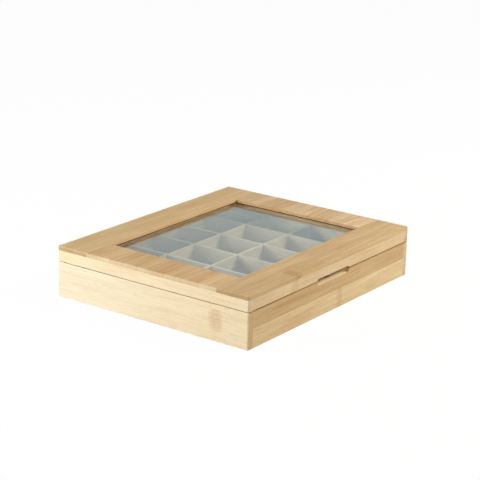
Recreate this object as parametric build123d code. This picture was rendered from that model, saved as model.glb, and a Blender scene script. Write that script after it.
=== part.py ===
from build123d import *
import os
from math import radians, tan

# A low bamboo box with a glazed, hinged lid and a divider grid for coffee capsules.
# Millimetres. X runs along the front, +Y to the back where the hinges are, +Z up.
# The origin is the middle of the underside.

# Overall size of the closed box
box_width = 310.0
box_depth = 256.0
base_height = 39.9
lid_height = 17.3
seam_gap = 0.6            # daylight between base and lid, set by the hinge leaves

# Boards of the base and the lid frame
wall_thickness = 8.0
corner_radius = 1.8       # upright outer corners
seam_arris = 0.3          # broken edges that meet at the seam
floor_thickness = 4.0
floor_rabbet = 4.0        # how far the floor is let into each wall
floor_clearance = 0.2

# Boards of the lid top, with the window between them
board_thickness = 4.8
board_width = 41.0
top_edge_radius = 1.0
window_edge_radius = 0.4
window_undercut = 1.2     # bevel under the window edge, above the glass

# Glass and the beads that hold it
glass_thickness = 2.0
glass_overlap = 8.0       # under the boards, on each side
glass_clearance = 0.2
bead_lip = 4.0            # part of the bead that carries the glass
bead_lip_thickness = 3.0
bead_shoulder = 6.0       # part of the bead that is glued to the boards

# Divider grid
columns = 6
rows = 4
divider_thickness = 3.0
divider_height = 30.0
divider_end_clearance = 0.25
divider_slot_clearance = 0.2

# Finger notch in the middle of the front, half in the base and half in the lid
notch_length = 62.0
notch_depth_base = 4.6
notch_depth_lid = 2.5
notch_radius_base = 4.0
notch_radius_lid = 2.0

# Hinges
hinge_end_distance = 60.0  # from an end of the box to the middle of its hinge
hinge_length = 30.0
hinge_inset = 2.0         # from the back face to the axis
leaf_thickness = 0.8
leaf_reach = 5.5          # from the axis to the inner edge of a leaf
leaf_clearance = 0.1
knuckle_count = 5
knuckle_radius = 1.6
knuckle_gap = 0.1
pin_radius = 0.8
pin_clearance = 0.05
barrel_clearance = 0.2
lid_open_angle = 100.0
stop_slack = 1.0          # degrees left when the lid stands open

# Hinge screws, two in each leaf
screw_spacing = 18.0
screw_head_radius = 1.4
screw_shank_radius = 0.7
screw_length = 8.0
screw_clearance = 0.05
screw_slot_width = 0.5
screw_slot_depth = 0.3
screw_edge_distance = 2.0  # from the inner edge of the leaf to the middle of the screw

# Allowances for the cuts and for picking edges
overshoot = 1.0           # how far a cut runs past the face that it opens
pick_tolerance = 1e-3

# Places worked out from the sizes
inner_width = box_width - 2 * wall_thickness
inner_depth = box_depth - 2 * wall_thickness
lid_bottom = base_height + seam_gap
lid_top = lid_bottom + lid_height
board_bottom = lid_top - board_thickness
window_width = box_width - 2 * board_width
window_depth = box_depth - 2 * board_width
axis_y = box_depth / 2 - hinge_inset
axis_z = base_height + seam_gap / 2
bevel_angle = (lid_open_angle + stop_slack) / 2
hinge_x = box_width / 2 - hinge_end_distance
hinge_sides = {"left": -hinge_x, "right": hinge_x}
screw_y = axis_y - leaf_reach + screw_edge_distance
knuckle_pitch = hinge_length / knuckle_count


def block(x_range, y_range, z_range):
    """A box between two values on each axis."""
    size = [high - low for low, high in (x_range, y_range, z_range)]
    middle = [(high + low) / 2 for low, high in (x_range, y_range, z_range)]
    return Pos(*middle) * Box(*size)


def centred(length):
    """The two ends of a length whose middle is at zero."""
    return (-length / 2, length / 2)


def past(low, high):
    """A range that a cut covers when it runs past both of its ends."""
    return (low - overshoot, high + overshoot)


def rounded_slab(bottom, top):
    """The outline of the box with its rounded corners, from one height to another."""
    return extrude(Pos(0, 0, bottom) * RectangleRounded(box_width, box_depth, corner_radius), top - bottom)


def level_edges(solid, height):
    """All edges that lie flat at one height."""
    def lies_flat(edge):
        box = edge.bounding_box()
        return abs(box.min.Z - height) < pick_tolerance and abs(box.max.Z - height) < pick_tolerance

    return solid.edges().filter_by(lies_flat)


def outer_edges(solid, height):
    """The outermost edges of a slab or ring at one height."""
    reach_x = box_width / 2 - corner_radius - pick_tolerance
    reach_y = box_depth / 2 - corner_radius - pick_tolerance
    return level_edges(solid, height).filter_by(
        lambda edge: abs(edge.center().X) > reach_x or abs(edge.center().Y) > reach_y
    )


def window_edges(solid, height):
    """The edges round the window at one height."""
    reach_x = window_width / 2 + pick_tolerance
    reach_y = window_depth / 2 + pick_tolerance
    return level_edges(solid, height).filter_by(
        lambda edge: abs(edge.center().X) < reach_x and abs(edge.center().Y) < reach_y
    )


def back_bevel(level, direction):
    """Wedge behind the hinge axis, which lets the lid swing and stops it when it stands open."""
    reach = hinge_inset + corner_radius
    rise = direction * reach * tan(radians(bevel_angle))
    section = Polyline((axis_y, level), (axis_y + reach, level), (axis_y + reach, level + rise), close=True)
    return extrude(Plane.YZ * make_face(section), box_width, both=True)


def side_board(ring, side):
    """Left or right board of a ring, which runs the whole depth of the box."""
    outside = side * box_width / 2
    inside = side * inner_width / 2
    box = ring.bounding_box()
    return ring & block(sorted((outside, inside)), centred(box_depth), (box.min.Z, box.max.Z))


def cross_board(ring, side):
    """Front or back board of a ring, which fits between the side boards."""
    outside = side * box_depth / 2
    inside = side * inner_depth / 2
    box = ring.bounding_box()
    return ring & block(centred(inner_width), sorted((outside, inside)), (box.min.Z, box.max.Z))


def finger_notch():
    """Through slot with rounded ends that is shared by the base and the lid."""
    bottom = base_height - notch_depth_base
    top = lid_bottom + notch_depth_lid
    slot = block(centred(notch_length), past(-box_depth / 2, -inner_depth / 2), (bottom, top))
    slot = fillet(slot.edges().filter_by(Axis.Y).group_by(Axis.Z)[0], notch_radius_base)
    return fillet(slot.edges().filter_by(Axis.Y).group_by(Axis.Z)[-1], notch_radius_lid)


def screw_hole(x, direction):
    """Room for one screw shank in the wood."""
    radius = screw_shank_radius + screw_clearance
    depth = screw_length + screw_clearance
    return Pos(x, screw_y, axis_z + direction * depth / 2) * Cylinder(radius, depth)


def hinge_gain(x, direction):
    """Shallow pocket for one leaf, its half of the barrel and its screws."""
    length = hinge_length + 2 * leaf_clearance
    barrel = Pos(x, axis_y, axis_z) * Rot(0, 90, 0) * Cylinder(knuckle_radius + barrel_clearance, length)
    z_range = sorted((axis_z, axis_z + direction * leaf_thickness))
    y_range = (axis_y - leaf_reach - leaf_clearance, axis_y)
    gain = barrel + block((x - length / 2, x + length / 2), y_range, z_range)
    for offset in centred(screw_spacing):
        gain += screw_hole(x + offset, direction)
    return gain


def base_walls():
    ring = rounded_slab(0, base_height)
    ring -= block(centred(inner_width), centred(inner_depth), past(0, base_height))
    ring = chamfer(outer_edges(ring, base_height), seam_arris)
    pocket_width = inner_width + 2 * floor_rabbet
    pocket_depth = inner_depth + 2 * floor_rabbet
    ring -= block(centred(pocket_width), centred(pocket_depth), (-overshoot, floor_thickness))
    ring -= back_bevel(base_height, -1)
    ring -= finger_notch()
    for x in hinge_sides.values():
        ring -= hinge_gain(x, -1)
    return {
        "base_front_wall": cross_board(ring, -1),
        "base_back_wall": cross_board(ring, 1),
        "base_left_wall": side_board(ring, -1),
        "base_right_wall": side_board(ring, 1),
    }


def base_floor():
    width = inner_width + 2 * (floor_rabbet - floor_clearance)
    depth = inner_depth + 2 * (floor_rabbet - floor_clearance)
    return {"base_floor": block(centred(width), centred(depth), (0, floor_thickness))}


def lid_rails():
    ring = rounded_slab(lid_bottom, board_bottom)
    ring -= block(centred(inner_width), centred(inner_depth), past(lid_bottom, board_bottom))
    ring = chamfer(outer_edges(ring, lid_bottom), seam_arris)
    ring -= back_bevel(lid_bottom, 1)
    ring -= finger_notch()
    for x in hinge_sides.values():
        ring -= hinge_gain(x, 1)
    return {
        "lid_front_rail": cross_board(ring, -1),
        "lid_back_rail": cross_board(ring, 1),
        "lid_left_rail": side_board(ring, -1),
        "lid_right_rail": side_board(ring, 1),
    }


def top_boards():
    """Front and back boards run the whole width and the side boards fit between them."""
    slab = rounded_slab(board_bottom, lid_top)
    slab = fillet(outer_edges(slab, lid_top), top_edge_radius)
    slab -= block(centred(window_width), centred(window_depth), past(board_bottom, lid_top))
    slab = fillet(window_edges(slab, lid_top), window_edge_radius)
    slab = chamfer(window_edges(slab, board_bottom), window_undercut)
    heights = (board_bottom, lid_top)
    boards = {}
    for name, side in (("top_front_board", -1), ("top_back_board", 1)):
        y_range = sorted((side * box_depth / 2, side * window_depth / 2))
        boards[name] = slab & block(centred(box_width), y_range, heights)
    for name, side in (("top_left_board", -1), ("top_right_board", 1)):
        x_range = sorted((side * box_width / 2, side * window_width / 2))
        boards[name] = slab & block(x_range, centred(window_depth), heights)
    return boards


def window_glass():
    width = window_width + 2 * glass_overlap
    depth = window_depth + 2 * glass_overlap
    heights = (board_bottom - glass_thickness, board_bottom)
    return {"window_glass": block(centred(width), centred(depth), heights)}


def bead_bar(length, inner, outer, heights):
    """One mitred bar on the +Y side, from its inner to its outer distance from the middle."""
    half = length / 2
    grow = outer - inner
    outline = Polyline((-half, inner), (half, inner), (half + grow, outer), (-half - grow, outer), close=True)
    return extrude(Pos(0, 0, heights[0]) * make_face(outline), heights[1] - heights[0])


def glass_beads():
    """Rebated beads with mitred corners, glued under the boards round the glass."""
    half_width = window_width / 2 + glass_overlap
    half_depth = window_depth / 2 + glass_overlap
    glass_bottom = board_bottom - glass_thickness
    beads = {}
    for name, turn, along, across in (
        ("glass_bead_back", 0, half_width, half_depth),
        ("glass_bead_left", 90, half_depth, half_width),
        ("glass_bead_front", 180, half_width, half_depth),
        ("glass_bead_right", 270, half_depth, half_width),
    ):
        seat = across + glass_clearance
        seat_length = 2 * (along + glass_clearance)
        lip_length = 2 * (along - bead_lip)
        lip_inner = across - bead_lip
        lip_bottom = glass_bottom - bead_lip_thickness
        lip = bead_bar(lip_length, lip_inner, seat + bead_shoulder, (lip_bottom, glass_bottom))
        shoulder = bead_bar(seat_length, seat, seat + bead_shoulder, (glass_bottom, board_bottom))
        beads[name] = Rot(0, 0, turn) * (lip + shoulder)
    return beads


def divider_places(count, inner_length):
    """Middles of the dividers that make a number of equal cells."""
    pitch = (inner_length + divider_thickness) / count
    start = -(inner_length + divider_thickness) / 2
    return [start + number * pitch for number in range(1, count)]


def dividers():
    """Half-lapped slats: long ones are slotted from above, cross ones from below."""
    column_places = divider_places(columns, inner_width)
    row_places = divider_places(rows, inner_depth)
    slot = divider_thickness + divider_slot_clearance
    bottom = floor_thickness
    top = floor_thickness + divider_height
    middle = (bottom + top) / 2
    slats = {}
    for number, y in enumerate(row_places, 1):
        length = inner_width - 2 * divider_end_clearance
        y_range = (y - divider_thickness / 2, y + divider_thickness / 2)
        slat = block(centred(length), y_range, (bottom, top))
        for x in column_places:
            cut = (x - slot / 2, x + slot / 2)
            heights = (middle - divider_slot_clearance / 2, top + overshoot)
            slat -= block(cut, (y - slot, y + slot), heights)
        slats[f"long_divider_{number}"] = slat
    for number, x in enumerate(column_places, 1):
        length = inner_depth - 2 * divider_end_clearance
        x_range = (x - divider_thickness / 2, x + divider_thickness / 2)
        slat = block(x_range, centred(length), (bottom, top))
        for y in row_places:
            cut = (y - slot / 2, y + slot / 2)
            heights = (bottom - overshoot, middle + divider_slot_clearance / 2)
            slat -= block((x - slot, x + slot), cut, heights)
        slats[f"cross_divider_{number}"] = slat
    return slats


def screw(x, direction):
    """Countersunk screw with a slotted head, driven away from the seam."""
    head_depth = screw_head_radius - screw_shank_radius
    top = axis_z + direction * screw_clearance
    tip = axis_z + direction * screw_length
    profile = Polyline(
        (0, top),
        (screw_head_radius, top),
        (screw_shank_radius, top + direction * head_depth),
        (screw_shank_radius, tip),
        (0, tip),
        close=True,
    )
    body = Pos(x, screw_y, 0) * revolve(Plane.XZ * make_face(profile), Axis.Z)
    slot_z = sorted((top - direction * overshoot, top + direction * screw_slot_depth))
    slot_y = (screw_y - screw_slot_width / 2, screw_y + screw_slot_width / 2)
    return body - block((x - screw_head_radius, x + screw_head_radius), slot_y, slot_z)


def countersink(x, direction):
    """Cone and hole through a leaf for one screw."""
    head = screw_head_radius + screw_clearance
    shank = screw_shank_radius + screw_clearance
    near = axis_z - direction * overshoot
    far = axis_z + direction * (leaf_thickness + overshoot)
    profile = Polyline(
        (0, near),
        (head, near),
        (head, axis_z + direction * screw_clearance),
        (shank, axis_z + direction * (screw_clearance + head - shank)),
        (shank, far),
        (0, far),
        close=True,
    )
    return Pos(x, screw_y, 0) * revolve(Plane.XZ * make_face(profile), Axis.Z)


def leaf(x, direction):
    """Leaf with its rolled knuckles: the base leaf has the odd ones, the lid leaf the even ones."""
    plate_z = sorted((axis_z, axis_z + direction * leaf_thickness))
    plate = block((x - hinge_length / 2, x + hinge_length / 2), (axis_y - leaf_reach, axis_y), plate_z)
    along_x = Pos(x, axis_y, axis_z) * Rot(0, 90, 0)
    plate += along_x * Cylinder(knuckle_radius, hinge_length)
    plate -= along_x * Cylinder(pin_radius + pin_clearance, hinge_length + overshoot)
    own = 0 if direction < 0 else 1
    reach = knuckle_radius + barrel_clearance
    for number in range(knuckle_count):
        if number % 2 == own:
            continue
        start = x - hinge_length / 2 + number * knuckle_pitch
        low = start - knuckle_gap / 2
        high = start + knuckle_pitch + knuckle_gap / 2
        plate -= block((low, high), (axis_y - reach, axis_y + reach), (axis_z - reach, axis_z + reach))
    for offset in centred(screw_spacing):
        plate -= countersink(x + offset, direction)
    return plate


def hinges():
    """Two butt hinges let into the seam, with their pins and screws."""
    pieces = {}
    pin = Pos(0, axis_y, axis_z) * Rot(0, 90, 0) * Cylinder(pin_radius, hinge_length)
    for name, x in hinge_sides.items():
        pieces[f"{name}_hinge_base_leaf"] = leaf(x, -1)
        pieces[f"{name}_hinge_lid_leaf"] = leaf(x, 1)
        pieces[f"{name}_hinge_pin"] = Pos(x, 0, 0) * pin
    places = [x + offset for x in hinge_sides.values() for offset in centred(screw_spacing)]
    pieces["base_hinge_screws"] = Compound([screw(x, -1) for x in places])
    pieces["lid_hinge_screws"] = Compound([screw(x, 1) for x in places])
    return pieces


def all_nodes():
    nodes = {}
    for make in (base_walls, base_floor, dividers, lid_rails, top_boards, window_glass, glass_beads, hinges):
        nodes.update(make())
    return nodes


os.makedirs("parts", exist_ok=True)
for node_name, node_shape in all_nodes().items():
    export_step(node_shape, f"parts/{node_name}.step")
    print(node_name)
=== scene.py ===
import bmesh
import bpy
import math
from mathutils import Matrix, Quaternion, Vector


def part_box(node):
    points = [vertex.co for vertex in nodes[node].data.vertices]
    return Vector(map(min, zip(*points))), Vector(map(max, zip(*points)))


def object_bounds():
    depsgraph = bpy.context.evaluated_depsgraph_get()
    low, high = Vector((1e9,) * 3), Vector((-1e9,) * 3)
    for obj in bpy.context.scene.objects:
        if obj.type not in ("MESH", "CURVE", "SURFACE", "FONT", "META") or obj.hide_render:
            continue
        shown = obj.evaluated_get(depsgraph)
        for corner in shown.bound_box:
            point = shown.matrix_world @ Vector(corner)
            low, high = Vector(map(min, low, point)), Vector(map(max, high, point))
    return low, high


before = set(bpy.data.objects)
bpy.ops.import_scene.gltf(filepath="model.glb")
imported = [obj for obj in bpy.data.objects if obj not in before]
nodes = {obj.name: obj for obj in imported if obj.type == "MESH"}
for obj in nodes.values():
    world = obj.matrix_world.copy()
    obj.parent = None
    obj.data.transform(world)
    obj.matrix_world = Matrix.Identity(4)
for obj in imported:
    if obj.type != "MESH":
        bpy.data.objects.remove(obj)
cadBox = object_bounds()
print("frame loaded:", len(nodes), "nodes")


# Node graphs. A Wire wraps one socket, so that sums on wires add Math nodes.
class Wire:
    def __init__(self, graph, socket):
        self.graph = graph
        self.socket = socket

    def maths(self, operation, *others):
        values = {number + 1: other for number, other in enumerate(others)}
        return self.graph.add("ShaderNodeMath", {"operation": operation}, {0: self, **values})

    def __add__(self, other):
        return self.maths("ADD", other)

    def __sub__(self, other):
        return self.maths("SUBTRACT", other)

    def __mul__(self, other):
        return self.maths("MULTIPLY", other)

    def __truediv__(self, other):
        return self.maths("DIVIDE", other)

    def __rsub__(self, other):
        return self.graph.add("ShaderNodeMath", {"operation": "SUBTRACT"}, {0: other, 1: self})


class Graph:
    def __init__(self, owner):
        owner.use_nodes = True
        self.tree = owner.node_tree
        self.tree.nodes.clear()

    # output is the name or number of a socket, or "all" for every output by its name
    def add(self, kind, settings=None, sockets=None, output=0):
        node = self.tree.nodes.new(kind)
        for name, value in (settings or {}).items():
            if name == "stops":
                fillRamp(node.color_ramp, value)
            elif name == "interpolation":
                node.color_ramp.interpolation = value
            else:
                setattr(node, name, value)
        for key, value in (sockets or {}).items():
            if isinstance(value, Wire):
                self.tree.links.new(value.socket, node.inputs[key])
            else:
                node.inputs[key].default_value = value
        if output == "all":
            return {socket.name: Wire(self, socket) for socket in node.outputs}
        return Wire(self, node.outputs[output] if len(node.outputs) else None)

    def mix(self, factor, first, second, blend="MIX"):
        settings = {"data_type": "RGBA", "blend_type": blend, "clamp_result": False}
        return self.add("ShaderNodeMix", settings, {0: factor, 6: first, 7: second}, 2)

    def multiply(self, factor, colour, tint):
        return self.mix(factor, colour, (*tint, 1.0), "MULTIPLY")

    def fade(self, value, start, end, low=0.0, high=1.0):
        settings = {"interpolation_type": "SMOOTHSTEP"}
        sockets = {0: value, 1: start, 2: end, 3: low, 4: high}
        return self.add("ShaderNodeMapRange", settings, sockets)

    def noise(self, vector, scale, detail=2.0, roughness=0.5):
        sockets = {"Vector": vector, "Scale": scale, "Detail": detail, "Roughness": roughness}
        return self.add("ShaderNodeTexNoise", {"noise_dimensions": "3D"}, sockets)


def fillRamp(ramp, stops):
    while len(ramp.elements) > 1:
        ramp.elements.remove(ramp.elements[-1])
    ramp.elements[0].position = stops[0][0]
    ramp.elements[0].color = stops[0][1]
    for position, colour in stops[1:]:
        ramp.elements.new(position).color = colour


def grey(value):
    return (value, value, value, 1.0)


def screenColour(red, green, blue):    # from a colour picker's 0 to 255
    def linear(part):
        part /= 255
        return part / 12.92 if part <= 0.04045 else ((part + 0.055) / 1.055) ** 2.4
    return (linear(red), linear(green), linear(blue), 1.0)


def finish(graph, shader):
    graph.add("ShaderNodeOutputMaterial", None, {"Surface": shader})


def dress(node, material):
    nodes[node].data.materials.clear()
    nodes[node].data.materials.append(material)


# Bamboo. Each board is glued up from strips, and its grain runs along one axis.
# A noise is its scale, detail and roughness, and a fade is where it starts and ends.
bamboo = {
    "pale": screenColour(246, 227, 190),
    "tan": screenColour(186, 149, 97),
    "brown": screenColour(140, 94, 48),
    "red": screenColour(202, 148, 100),
    "ring": screenColour(174, 112, 54),
    "endGrain": screenColour(160, 120, 66),
    "nearEnd": screenColour(174, 138, 78),
    # painted shade: the dark gap of the seam and the line under it
    "rim": screenColour(84, 44, 10),
    # painted shade: the dark line low on the window's inner edges
    "bevel": screenColour(66, 30, 6),
    # painted shade on the cross dividers' front ends
    "slot": screenColour(190, 140, 84),
    "stain": (0.95, 0.86, 0.62),         # painted shade, browner by the seam
    "windowEdge": (1.0, 0.92, 0.86),     # painted shade, redder on the window's inner edges
    "sway": {"streaks": 0.6, "clouds": 0.6, "lines": 0.7},    # how far each pattern moves a tone
    "warm": {"fade": (0.48, 0.72), "amount": 0.35},
    "fibres": {"fade": (0.42, 0.75), "amount": 0.24},
    "bundles": {"fade": (0.56, 0.72), "least": 0.10, "amount": 0.14},
    "pores": {"noise": (1400.0, 2.0, 0.6), "fade": (0.35, 0.7, 0.7, 1.35), "amount": 0.45},
    "glue": {"line": 0.0004, "amount": 0.5},
    "bump": {"strength": 0.12, "distance": 0.0003, "fibres": 0.6, "streaks": 0.4},
    "ior": 1.46,
    "roughnessSway": 0.15,
    "coatRoughness": 0.3,
}
# patterns of the grain: length along it, length across it, detail, roughness
patterns = {
    "fibres": (0.03, 0.0013, 3.0, 0.6),
    "lines": (0.06, 0.0028, 2.0, 0.5),
    "streaks": (0.18, 0.009, 3.0, 0.55),
    "clouds": (0.07, 0.025, 2.0, 0.5),
    "bundles": (0.007, 0.0011, 2.0, 0.5),
    "warm": (0.08, 0.012, 2.0, 0.5),
    "dots": (0.0026, 0.002, 2.0, 0.6),
    "wobble": (0.01, 0.006, 3.0, 0.65),
}
# offsets that give each strip and each board its own part of the patterns
offsets = {"step": 0.37, "strip": 7.3, "board": 1.7}
# rings where the cane had its joints, speckled and soft at their edges
ringLook = {"dots": (0.5, 0.66), "wobble": 1.2, "edge": (1.9, 0.1), "speckle": 0.45, "even": 0.55}
# painted dark lines of shade, each as how far from its edge it starts and is full
darkLines = {
    "rim": (0.0016, 0.00096),            # in from the outside, painted shade in the seam's gap
    "rimLevel": (0.0012, 0.0006),
    "lip": (0.001, 0.0003),              # painted shade down the front under the seam
    "stain": (0.002, 0.0006),            # painted shade away from the seam on the front
    "windowInner": (0.0022, 0.0016),     # out from the window
    "windowLow": (0.0016, 0.0012),       # up from the board's underside
}
facingFade = (0.85, 0.97)     # how far a surface faces along an axis
notUnder = (-0.95, -0.85)     # all surfaces but those that face down
satin = {"roughness": 0.42, "specular": 0.5, "coat": 0.15}
matt = {"roughness": 0.5, "specular": 0.3, "coat": 0.05}


# Where a point lies in its board: along the grain, across it and in which strip
class Grain:
    def __init__(self, graph, board):
        self.graph = graph
        self.board = board
        self.made = {}
        self.place = graph.add("ShaderNodeTexCoord", output="Object")
        self.axes = graph.add("ShaderNodeSeparateXYZ", None, {0: self.place}, "all")
        normal = graph.add("ShaderNodeTexCoord", output="Normal")
        self.turned = graph.add("ShaderNodeSeparateXYZ", None, {0: normal}, "all")
        self.along = self.axes[board["grain"]]
        self.across = self.axes[board["across"]]
        self.depth = [self.axes[key] for key in "XYZ" if key not in (board["grain"], board["across"])][0]
        low, high = board["range"]
        self.spot = (self.across - low) * (1 / (high - low))
        self.starts = [0.0] + [(edge - low) / (high - low) for edge in board["edges"]]
        steps = self.perStrip([number * offsets["step"] % 1 for number in range(len(board["tones"]))])
        self.shift = steps * offsets["strip"] + board["seed"] * offsets["board"]

    def facing(self, axis):
        return self.graph.fade(self.turned[axis].maths("ABSOLUTE"), *facingFade)

    def near(self, value, place, line):
        return self.graph.fade((value - place).maths("ABSOLUTE"), *line)

    def perStrip(self, values):
        stops = [(start, grey(value)) for start, value in zip(self.starts, values)]
        settings = {"interpolation": "CONSTANT", "stops": stops}
        return self.graph.add("ShaderNodeValToRGB", settings, {0: self.spot})

    def pattern(self, name):
        if name not in self.made:
            alongLength, acrossLength, detail, roughness = patterns[name]
            vector = self.graph.add("ShaderNodeCombineXYZ", None, {
                0: (self.along + self.shift) * (1 / alongLength),
                1: self.across * (1 / acrossLength),
                2: self.depth * (1 / acrossLength),
            })
            self.made[name] = self.graph.noise(vector, 1.0, detail, roughness)
        return self.made[name]


# The tone of a strip lies between pale and tan, and some streaks are redder
def stripColour(grain):
    graph, board = grain.graph, grain.board
    contrast = board.get("contrast", 1.0)
    waves = ((grain.pattern("streaks") - 0.5) * bamboo["sway"]["streaks"]
             + (grain.pattern("clouds") - 0.5) * bamboo["sway"]["clouds"]
             + (grain.pattern("lines") - 0.5) * bamboo["sway"]["lines"])
    amount = waves * contrast + grain.perStrip(board["tones"])
    # Painted highlight: the up-facing floor of the notch turns to the pale tone
    if "notch" in board:
        notchLight = grain.facing(board["across"]) * graph.fade(grain.across, *board["notch"])
        amount = graph.add("ShaderNodeMix", {"data_type": "FLOAT"}, {0: notchLight, 2: amount, 3: 0.0})
    colour = graph.mix(amount, bamboo["pale"], bamboo["tan"])
    warm, fibres, bundles = bamboo["warm"], bamboo["fibres"], bamboo["bundles"]
    factor = graph.fade(grain.pattern("warm"), *warm["fade"]) * (warm["amount"] * contrast)
    colour = graph.mix(factor, colour, bamboo["red"])
    if "reds" in board:
        colour = graph.mix(grain.perStrip(board["reds"]), colour, bamboo["red"])
    factor = graph.fade(grain.pattern("fibres"), *fibres["fade"]) * (fibres["amount"] * contrast)
    colour = graph.mix(factor, colour, bamboo["brown"])
    depth = bundles["least"] + bundles["amount"] * contrast
    factor = graph.fade(grain.pattern("bundles"), *bundles["fade"]) * depth
    return graph.mix(factor, colour, bamboo["brown"])


def addRings(grain, colour):
    graph = grain.graph
    for place, low, high, halfWidth, strength in grain.board["rings"]:
        dots = graph.fade(grain.pattern("dots"), *ringLook["dots"])
        wobble = (grain.pattern("wobble") - 0.5) * ringLook["wobble"]
        sideways = ((grain.along - place) / halfWidth + wobble).maths("POWER", 2.0)
        upright = ((grain.across - (low + high) / 2) / ((high - low) / 2)).maths("POWER", 4.0)
        ring = graph.fade(sideways + upright, *ringLook["edge"])
        speckles = dots * ringLook["speckle"] + ringLook["even"]
        colour = graph.mix(ring * speckles * strength, colour, bamboo["ring"])
    return colour


# The lines of glue between the strips, and the darker ends of the canes
def addJoints(grain, colour):
    graph, board = grain.graph, grain.board
    for edge in board["edges"]:
        joint = grain.near(grain.across, edge, (bamboo["glue"]["line"], 0.0))
        colour = graph.mix(joint * bamboo["glue"]["amount"], colour, bamboo["brown"])
    pores = bamboo["pores"]
    dots = graph.fade(graph.noise(grain.place, *pores["noise"]), *pores["fade"])
    factor = grain.facing(board["grain"]) * dots * board.get("endGrain", pores["amount"])
    return graph.mix(factor, colour, bamboo[board.get("endColour", "endGrain")])


# Painted light and shade: dark lines by the seam and round the window, shade on the dividers, tints by
# facing, paler light along the left wall; and a darker part of the front board
def addPaintedLight(grain, colour):
    graph, board, axes, facing = grain.graph, grain.board, grain.axes, grain.facing
    # Painted shade in the seam's gap: dark on the top faces by the outside, at the seam's height
    for axis, place, height, strength, shadeColour in board.get("rims", []):
        rim = grain.near(axes[axis], place, darkLines["rim"])
        level = grain.near(axes["Z"], height, darkLines["rimLevel"])
        colour = graph.mix(facing("Z") * rim * level * strength, colour, bamboo[shadeColour])
    # Painted shade: a dark line down the front just under the seam
    if "lip" in board:
        height, strength = board["lip"]
        lip = graph.fade(axes["Z"], *[height - reach for reach in darkLines["lip"]])
        colour = graph.mix(facing("Y") * lip * strength, colour, bamboo["rim"])
    # Painted shade: the front turns browner round the seam, which widens the seam's dark line
    if "seam" in board:
        stain = grain.near(axes["Z"], board["seam"], darkLines["stain"])
        colour = graph.multiply(facing("Y") * stain, colour, bamboo["stain"])
    # Painted light: the board turns paler along the grain, towards the back of the left wall
    if "faded" in board:
        start, end, tint = board["faded"]
        colour = graph.multiply(graph.fade(grain.along, start, end), colour, tint)
    # Painted warm light on the faces that face front
    if "tint" in board:
        colour = graph.multiply(facing("Y"), colour, board["tint"])
    # Painted shade on the cross dividers' front ends, under the front board
    if "shade" in board:
        start, end, strength = board["shade"]
        shade = graph.fade(grain.along, start, end)
        colour = graph.mix(shade * strength, colour, bamboo["slot"])
    # Darker on the faces across the grain, from one place along it to another
    if "worn" in board:
        start, end, strength = board["worn"]
        worn = graph.fade(grain.along, start, end) * facing(board["across"])
        colour = graph.mix(worn * strength, colour, bamboo["brown"])
    # Painted shade round the window: its inner edges turn redder, and a dark line runs low on them
    if "window" in board:
        axis, place, bottom = board["window"]
        inner = graph.fade(axes[axis].maths("ABSOLUTE"),
                           *[place + reach for reach in darkLines["windowInner"]])
        low = graph.fade(axes["Z"], *[bottom + reach for reach in darkLines["windowLow"]])
        side = graph.fade(grain.turned["Z"], *notUnder) * (1 - facing("X" if axis == "Y" else "Y"))
        colour = graph.multiply(inner * side * (1 - facing("Z")), colour, bamboo["windowEdge"])
        colour = graph.mix(inner * low * side, colour, bamboo["bevel"])
    # Painted light and shade by facing: the upper faces and all other faces get their own tints
    if "upper" in board:
        colour = graph.multiply(facing("Z"), colour, board["upper"])
    if "sides" in board:
        colour = graph.multiply(1 - facing("Z"), colour, board["sides"])
    return colour


def bambooFinish(name, board):
    material = bpy.data.materials.new(name)
    graph = Graph(material)
    grain = Grain(graph, board)
    colour = addPaintedLight(grain, addJoints(grain, addRings(grain, stripColour(grain))))
    fibres, streaks = grain.pattern("fibres"), grain.pattern("streaks")
    bump = graph.add("ShaderNodeBump", None, {
        "Strength": bamboo["bump"]["strength"],
        "Distance": bamboo["bump"]["distance"],
        "Height": fibres * bamboo["bump"]["fibres"] + streaks * bamboo["bump"]["streaks"],
    })
    gloss = board["gloss"]
    shader = graph.add("ShaderNodeBsdfPrincipled", None, {
        "Base Color": colour,
        "Roughness": (fibres - 0.5) * bamboo["roughnessSway"] + gloss["roughness"],
        "Normal": bump,
        "IOR": bamboo["ior"],
        "Specular IOR Level": gloss["specular"],
        "Coat Weight": gloss["coat"],
        "Coat Roughness": bamboo["coatRoughness"],
    })
    finish(graph, shader)
    return material


# Equal strips whose tones follow from a seed, for boards that the photograph doesn't show
hidden = {"stripWidth": 0.02, "tones": (0.3, 0.6), "scatter": (12.9898, 78.233, 43758.5453)}


def hiddenStrips(low, high, seed, tones):
    count = max(1, round((high - low) / hidden["stripWidth"]))
    edges = [low + (high - low) * number / count for number in range(1, count)]
    perSeed, perNumber, spread = hidden["scatter"]
    values = []
    for number in range(count):
        wave = math.sin(seed * perSeed + number * perNumber) * spread
        values.append(tones[0] + (tones[1] - tones[0]) * (wave - math.floor(wave)))
    return edges, values


# Which way the window lies from a top board, where it starts, and the board's underside
def windowSide(node):
    axis = "Y" if node in ("top_front_board", "top_back_board") else "X"
    low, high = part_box(node)
    number = "XYZ".index(axis)
    return axis, min(abs(low[number]), abs(high[number])), low[2]


boards = {}


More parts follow.
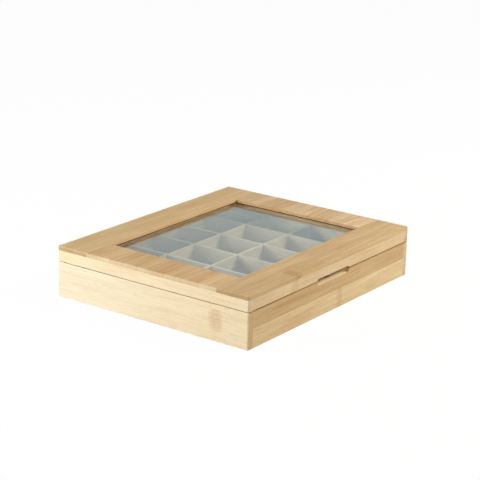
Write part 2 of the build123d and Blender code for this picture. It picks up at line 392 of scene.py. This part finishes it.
# The facts of a board:
# edges and tones of its strips across the grain, tones from 0 for pale to 1 for tan
# between: the tones of hidden strips lie between these two
# reds: how red each strip is
# contrast of its patterns
# rings: place along the grain, start and end across it, half width, strength
# endGrain and endColour: strength and colour of the cane ends
# notch: between which heights the surfaces facing up turn pale, a painted highlight on the notch's floor
# rims: axis and place of the outside, height, strength, colour of the painted shade in the seam's gap
# lip: height and strength of the painted shade line under the seam
# seam: the height round which the front is painted browner, as shade by the seam
# faded: start and end along the grain, and the tint there, a painted light that turns the board paler
# shade and darkened: start and end along the grain, and strength; shade is a painted shade, darkened a
# darker part of the faces across the grain
# tint, upper and sides: painted light and shade by facing, tints of the front, of the upper surfaces and
# of all others
def addBoard(node, grain, across, seed, facts):
    low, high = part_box(node)
    axis = "XYZ".index(across)
    tones = facts.get("between", hidden["tones"])
    edges, tones = hiddenStrips(low[axis], high[axis], seed, tones)
    board = {"grain": grain, "across": across, "seed": seed, "range": (low[axis], high[axis]),
             "edges": edges, "tones": tones, "rings": [], "gloss": satin}
    if node.startswith("top"):
        board.update(gloss=matt, window=windowSide(node))
    board.update(facts)
    boards[node] = board


# Base walls: the front is two strips, the left is one pale strip
left, front = cadBox[0][0], cadBox[0][1]
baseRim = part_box("base_front_wall")[1][2]
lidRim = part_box("lid_front_rail")[0][2]
seam = (baseRim + lidRim) / 2
# Painted shade in the seam's gap along the front, on the rims of the base and the lid
baseFrontSeamShade = ("Y", front, baseRim, 0.95, "rim")
lidFrontSeamShade = ("Y", front, lidRim, 0.95, "rim")

addBoard("base_front_wall", "X", "Z", 1, {
    "edges": [0.0214],
    "tones": [0.48, 0.82],
    "contrast": 0.6,
    "notch": (baseRim - 0.001, baseRim - 0.002),
    "rims": [baseFrontSeamShade],
    "lip": (baseRim, 0.9),
    "seam": seam,
    "tint": (1.0, 0.99, 0.91),
    "rings": [(0.0135, -0.01, 0.0225, 0.005, 0.4)],
})
addBoard("base_left_wall", "Y", "Z", 2, {
    "edges": [],
    "tones": [0.03],
    "contrast": 0.45,
    "endGrain": 0.75,
    "endColour": "nearEnd",
    # painted light: paler towards the back
    "faded": (-0.09, 0.12, (1.0, 1.06, 1.157)),
    "rims": [("X", left, baseRim, 0.85, "brown"), baseFrontSeamShade],
    "lip": (baseRim, 0.9),
    "seam": seam,
    "rings": [(-0.0868, 0.0105, 0.0345, 0.0075, 0.4), (-0.032, 0.001, 0.0085, 0.007, 0.15)],
})
addBoard("base_right_wall", "Y", "Z", 3, {
    "between": (0.2, 0.5),
    "endGrain": 0.25,
    "rims": [("X", -left, baseRim, 0.85, "brown"), baseFrontSeamShade],
    "lip": (baseRim, 0.9),
    "seam": seam,
    "rings": [(0.031, -0.01, 0.0205, 0.005, 0.4)],
})
addBoard("base_back_wall", "X", "Z", 4, {"rings": [(-0.052, 0.019, 0.06, 0.005, 0.4)]})
addBoard("base_floor", "X", "Y", 5, {})

# Rails of the lid
addBoard("lid_front_rail", "X", "Z", 6, {
    "edges": [],
    "tones": [0.5],
    "contrast": 0.6,
    "rims": [lidFrontSeamShade],
    "seam": seam,
    "rings": [(-0.073, 0.03, 0.06, 0.006, 0.35)],
})
addBoard("lid_left_rail", "Y", "Z", 7, {
    "edges": [],
    "tones": [0.05],
    "contrast": 0.4,
    "endGrain": 0.4,
    "rims": [("X", left, lidRim, 0.85, "brown"), lidFrontSeamShade],
    "seam": seam,
})
addBoard("lid_right_rail", "Y", "Z", 8, {
    "edges": [],
    "tones": [0.3],
    "rims": [("X", -left, lidRim, 0.85, "brown"), lidFrontSeamShade],
    "seam": seam,
})
addBoard("lid_back_rail", "X", "Z", 9, {"edges": [], "tones": [0.35]})

# Boards round the window, whose strips all run along the front, with painted shade on their top faces
addBoard("top_front_board", "X", "Y", 10, {
    "edges": [-0.1075],
    "tones": [0.68, 0.66],
    "contrast": 0.75,
    "upper": (0.96, 0.92, 0.87),
    # darker on the front face towards the left end
    "worn": (-0.055, -0.07, 0.24),
    "rings": [(-0.067, -0.130, -0.1095, 0.007, 0.55)],
})
addBoard("top_back_board", "X", "Y", 11, {
    "edges": [0.1075],
    "tones": [0.52, 0.59],
    "contrast": 0.6,
    "upper": (0.97, 0.91, 0.79),
})
addBoard("top_left_board", "X", "Y", 12, {
    "edges": [-0.064, -0.040, -0.019, 0.0, 0.018, 0.036, 0.054, 0.072],
    "tones": [0.46, 0.62, 0.58, 0.62, 0.58, 0.66, 0.54, 0.48, 0.63],
    "reds": [0, 0.1, 0, 0.35, 0, 0, 0.15, 0, 0],
    "contrast": 0.75,
    "endGrain": 0.3,
    "endColour": "pale",
    "upper": (0.98, 0.90, 0.80),
})
addBoard("top_right_board", "X", "Y", 13, {
    "edges": [-0.064, -0.043, -0.022, -0.003, 0.013, 0.033, 0.052, 0.071],
    "tones": [0.39, 0.45, 0.57, 0.50, 0.54, 0.59, 0.63, 0.56, 0.57],
    "endGrain": 0.4,
    "upper": (0.96, 0.92, 0.91),
})
for number, side in enumerate(("front", "back", "left", "right")):
    along, across = ("X", "Y") if side in ("front", "back") else ("Y", "X")
    addBoard("glass_bead_" + side, along, across, 20 + number, {"edges": [], "tones": [0.4]})

# Dividers, thin pale slats, with painted shade on their sides. The front ends of the cross ones show
# through the notch, and get a painted shade there.
slat = {
    "edges": [],
    "contrast": 0.4,
    "endGrain": 0.1,
    "upper": (1.0, 0.93, 0.96),
    "sides": (0.76, 0.74, 0.83),
}
# painted shade on the front ends, which the front board hangs over
crossSlat = {**slat, "shade": (-0.088, -0.104, 0.6)}
for number in range(1, 4):
    tones = {"tones": [0.05 * number]}
    addBoard("long_divider_%d" % number, "X", "Z", 30 + number, {**slat, **tones})
for number in range(1, 6):
    tones = {"tones": [0.04 * number]}
    addBoard("cross_divider_%d" % number, "Y", "Z", 40 + number, {**crossSlat, **tones})

for node, board in boards.items():
    dress(node, bambooFinish("bamboo_" + node, board))
print("bamboo:", len(boards), "boards")


# Brass of the hinges and screws
brass = {
    "colour": screenColour(205, 170, 96),
    "worn": screenColour(168, 132, 74),
    "roughness": 0.18,
    "clouds": {"noise": (260.0, 3.0, 0.6), "fade": (0.35, 0.7), "roughness": 0.2},
    "scratches": {"scale": (300.0, 4000.0, 4000.0), "roughness": 0.08},
    "bump": {"strength": 0.1, "distance": 0.0001},
}


def brassFinish():
    material = bpy.data.materials.new("hinge_brass")
    graph = Graph(material)
    place = graph.add("ShaderNodeTexCoord", output="Object")
    clouds = graph.noise(place, *brass["clouds"]["noise"])
    drawn = {"Vector": place, "Scale": brass["scratches"]["scale"]}
    scratches = graph.noise(graph.add("ShaderNodeMapping", None, drawn), 1.0)
    tarnish = graph.fade(clouds, *brass["clouds"]["fade"])
    bump = graph.add("ShaderNodeBump", None, {
        "Strength": brass["bump"]["strength"],
        "Distance": brass["bump"]["distance"],
        "Height": scratches,
    })
    roughness = (clouds * brass["clouds"]["roughness"] + brass["roughness"]
                 + scratches * brass["scratches"]["roughness"])
    shader = graph.add("ShaderNodeBsdfPrincipled", None, {
        "Base Color": graph.mix(tarnish, brass["colour"], brass["worn"]),
        "Metallic": 1.0,
        "Roughness": roughness,
        "Normal": bump,
    })
    finish(graph, shader)
    return material


brassMaterial = brassFinish()
brassNodes = [node for node in nodes if "hinge" in node]
for node in brassNodes:
    dress(node, brassMaterial)
print("brass:", len(brassNodes), "pieces of the hinges")


# Glass. Light passes straight through it to what lies under it.
glass = {
    "ior": 1.5,
    "colour": (0.97, 0.99, 0.98, 1.0),
    "through": (0.86, 0.88, 0.87, 1.0),
    "smears": {"noise": (22.0, 3.0, 0.55), "fade": (0.5, 0.8, 0.0, 0.03)},
}


def glassFinish():
    material = bpy.data.materials.new("window_glass")
    graph = Graph(material)
    place = graph.add("ShaderNodeTexCoord", output="Object")
    smears = graph.noise(place, *glass["smears"]["noise"])
    clear = graph.add("ShaderNodeBsdfPrincipled", None, {
        "Base Color": glass["colour"],
        "Roughness": graph.fade(smears, *glass["smears"]["fade"]),
        "IOR": glass["ior"],
        "Transmission Weight": 1.0,
    })
    straight = graph.add("ShaderNodeBsdfTransparent", None, {"Color": glass["through"]})
    rays = graph.add("ShaderNodeLightPath", output="all")
    unseen = rays["Is Shadow Ray"].maths("MAXIMUM", rays["Is Diffuse Ray"])
    finish(graph, graph.add("ShaderNodeMixShader", None, {0: unseen, 1: clear, 2: straight}))
    return material


dress("window_glass", glassFinish())
print("glass: the window's pane")


# Floor, just under the box's own rest plane. It is white to the camera and dull to the lamps.
floorFacts = {"size": 12.0, "drop": 0.0002, "dull": 0.3, "white": 1.06, "seen": 0.92}
mesh = bpy.data.meshes.new("studioFloor")
sheet = bmesh.new()
bmesh.ops.create_grid(sheet, x_segments=1, y_segments=1, size=floorFacts["size"] / 2)
bmesh.ops.translate(sheet, vec=(0, 0, -floorFacts["drop"]), verts=sheet.verts)
sheet.to_mesh(mesh)
sheet.free()
floor = bpy.data.objects.new("studioFloor", mesh)
bpy.context.scene.collection.objects.link(floor)


def floorFinish():
    material = bpy.data.materials.new("floor_white")
    graph = Graph(material)
    rays = graph.add("ShaderNodeLightPath", output="all")
    seen = rays["Is Camera Ray"].maths("MAXIMUM", rays["Is Glossy Ray"])
    seen = seen.maths("MAXIMUM", rays["Is Transmission Ray"])
    dull = graph.add("ShaderNodeBsdfDiffuse", None, {"Color": grey(floorFacts["dull"])})
    lit = {"Color": grey(1.0), "Strength": floorFacts["white"]}
    white = graph.add("ShaderNodeEmission", None, lit)
    factor = seen * floorFacts["seen"]
    finish(graph, graph.add("ShaderNodeMixShader", None, {0: factor, 1: dull, 2: white}))
    return material


mesh.materials.append(floorFinish())

# World: a dim studio, with a pale blue backdrop low down on the far side, which the window reflects.
# The stops of both ramps are heights from the horizon.
studio = {
    "room": [(0.0, grey(0.06)), (0.5, grey(0.04)), (1.0, grey(0.03))],
    "backdrop": [
        (0.0, (0.9, 0.95, 1.0, 1.0)),
        (0.12, (0.72, 0.86, 0.9, 1.0)),
        (0.28, (0.62, 0.79, 0.83, 1.0)),
        (0.38, (0.58, 0.74, 0.78, 1.0)),
        (0.5, (0.12, 0.12, 0.12, 1.0)),
    ],
    "far": (0.81, 0.586),            # the camera's way over the floor
    "farFade": (0.7, 0.9),
}
world = bpy.data.worlds.new("studio")
bpy.context.scene.world = world
graph = Graph(world)
way = graph.add("ShaderNodeTexCoord", output="Generated")
axes = graph.add("ShaderNodeSeparateXYZ", None, {0: way}, "all")
far = axes["X"] * studio["far"][0] + axes["Y"] * studio["far"][1]
backdrop = graph.add("ShaderNodeValToRGB", {"stops": studio["backdrop"]}, {0: axes["Z"]})
room = graph.add("ShaderNodeValToRGB", {"stops": studio["room"]}, {0: axes["Z"]})
sky = graph.mix(graph.fade(far, *studio["farFade"]), room, backdrop)
background = graph.add("ShaderNodeBackground", None, {"Color": sky, "Strength": 1.0})
graph.add("ShaderNodeOutputWorld", None, {"Surface": background})
print("floor and world")

# Lamps. The glass shows no mirror image of the two big lamps in front.
lampAim = Vector((0, 0, 0.03))
lamps = {
    "keyLamp": {"place": (-1.0, 0.9, 0.5), "size": 0.6, "power": 18.8,
                "colour": (1.0, 1.0, 0.99), "mirrored": True},
    "frontLamp": {"place": (0.55, -0.75, 0.8), "size": 0.5, "power": 13.0,
                  "colour": (1.0, 0.93, 0.77), "mirrored": False},
    "nearLamp": {"place": (-3.2, -3.4, 1.3), "size": 2.0, "power": 86.0,
                 "colour": (1.0, 0.97, 0.92), "mirrored": False},
    "rightLamp": {"place": (1.4, -0.1, 0.28), "size": 0.4, "power": 1.5,
                  "colour": (1.0, 0.98, 0.96), "mirrored": True},
}
for name, facts in lamps.items():
    data = bpy.data.lights.new(name, "AREA")
    data.shape = "SQUARE"
    data.size = facts["size"]
    data.energy = facts["power"]
    data.color = facts["colour"]
    lamp = bpy.data.objects.new(name, data)
    lamp.location = facts["place"]
    lamp.rotation_mode = "QUATERNION"
    lamp.rotation_quaternion = (lampAim - Vector(facts["place"])).to_track_quat("-Z", "Y")
    lamp.visible_glossy = lamp.visible_transmission = facts["mirrored"]
    bpy.context.scene.collection.objects.link(lamp)

# Camera, fitted to the photograph's edges, with its angles in degrees
view = {
    "place": (-1.39216, -1.00940, 0.60224),
    "azimuth": 54.14,
    "elevation": 17.72,
    "roll": 1.358,
    "lens": 121.53,
    "sensor": 36.0,
}
cameraData = bpy.data.cameras.new("camera")
cameraData.lens = view["lens"]
cameraData.sensor_width = view["sensor"]
camera = bpy.data.objects.new("camera", cameraData)
azimuth, elevation = math.radians(view["azimuth"]), math.radians(view["elevation"])
level = math.cos(elevation)
aim = Vector((level * math.sin(azimuth), level * math.cos(azimuth), -math.sin(elevation)))
roll = Quaternion((0, 0, 1), math.radians(view["roll"]))
camera.rotation_mode = "QUATERNION"
camera.rotation_quaternion = aim.to_track_quat("-Z", "Y") @ roll
camera.location = view["place"]
bpy.context.scene.collection.objects.link(camera)
bpy.context.scene.camera = camera
bpy.context.scene.view_settings.view_transform = "Standard"
print("lamps and camera:", len(lamps), "lamps")
